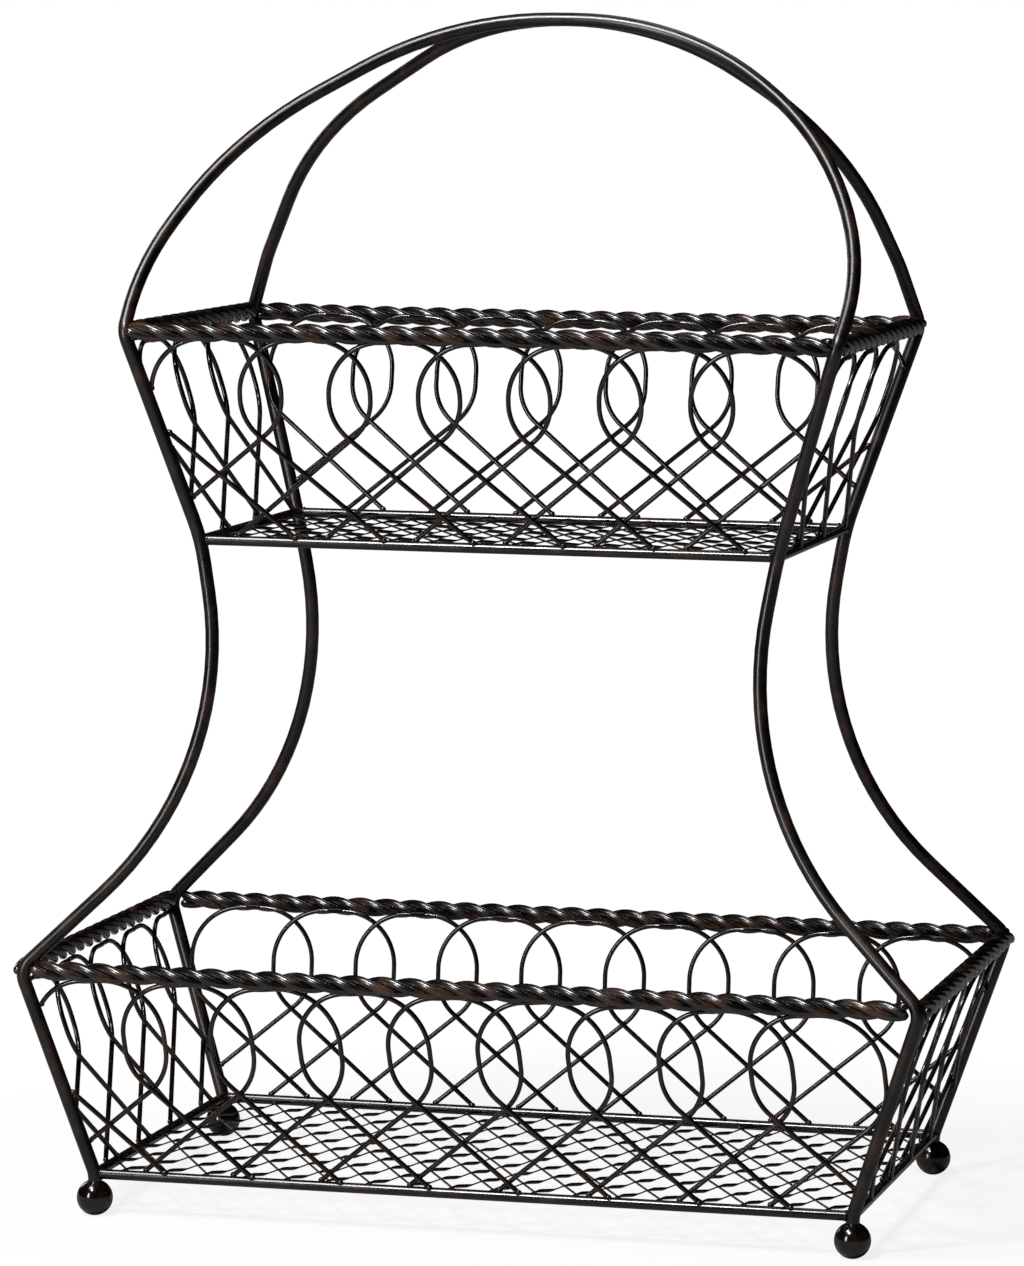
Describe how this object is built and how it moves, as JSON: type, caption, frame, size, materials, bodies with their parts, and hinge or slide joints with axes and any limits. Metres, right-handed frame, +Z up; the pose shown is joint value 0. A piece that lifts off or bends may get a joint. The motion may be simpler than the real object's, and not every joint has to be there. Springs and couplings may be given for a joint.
{
  "type": "two-tier wire basket",
  "caption": "Open wire basket with two rectangular tiers, flared looped-wire walls, twisted rims, mesh floors, ball feet and two bent hoops that meet as a carrying handle.",
  "frame": {"origin": "on the floor, under the middle of the feet", "axes": "+X to the right along the baskets as the picture shows the front, +Y from front to back, +Z up"},
  "size_m": [0.4088, 0.2352, 0.529],
  "materials": {
    "rod_coat": "satin, near black with a brown cast, on the bent rods",
    "ball_coat": "satin, near black, on the ball feet",
    "rope_coat": "satin, near black with brown-grey glints, on the twisted rims",
    "rail_coat": "satin, near black, on the straight base rails",
    "wire_coat": "satin, near black, on the bent wall wires",
    "mesh_coat": "satin, near black, on the fine floor wires"
  },
  "bodies": {
    "root": {"front_hoop": "rod_coat", "foot_front_left": "ball_coat", "foot_front_right": "ball_coat", "back_hoop": "rod_coat", "foot_back_left": "ball_coat", "foot_back_right": "ball_coat", "lower_front_rim": "rope_coat", "lower_front_rail": "rail_coat", "lower_front_wires": "wire_coat", "lower_back_rim": "rope_coat", "lower_back_rail": "rail_coat", "lower_back_wires": "wire_coat", "lower_left_rim": "rope_coat", "lower_left_rail": "rail_coat", "lower_left_wires": "wire_coat", "lower_right_rim": "rope_coat", "lower_right_rail": "rail_coat", "lower_right_wires": "wire_coat", "lower_floor_mesh": "mesh_coat", "upper_front_rim": "rope_coat", "upper_front_rail": "rail_coat", "upper_front_wires": "wire_coat", "upper_back_rim": "rope_coat", "upper_back_rail": "rail_coat", "upper_back_wires": "wire_coat", "upper_left_rim": "rope_coat", "upper_left_rail": "rail_coat", "upper_left_wires": "wire_coat", "upper_right_rim": "rope_coat", "upper_right_rail": "rail_coat", "upper_right_wires": "wire_coat", "upper_floor_mesh": "mesh_coat"}
  },
  "joints": []
}
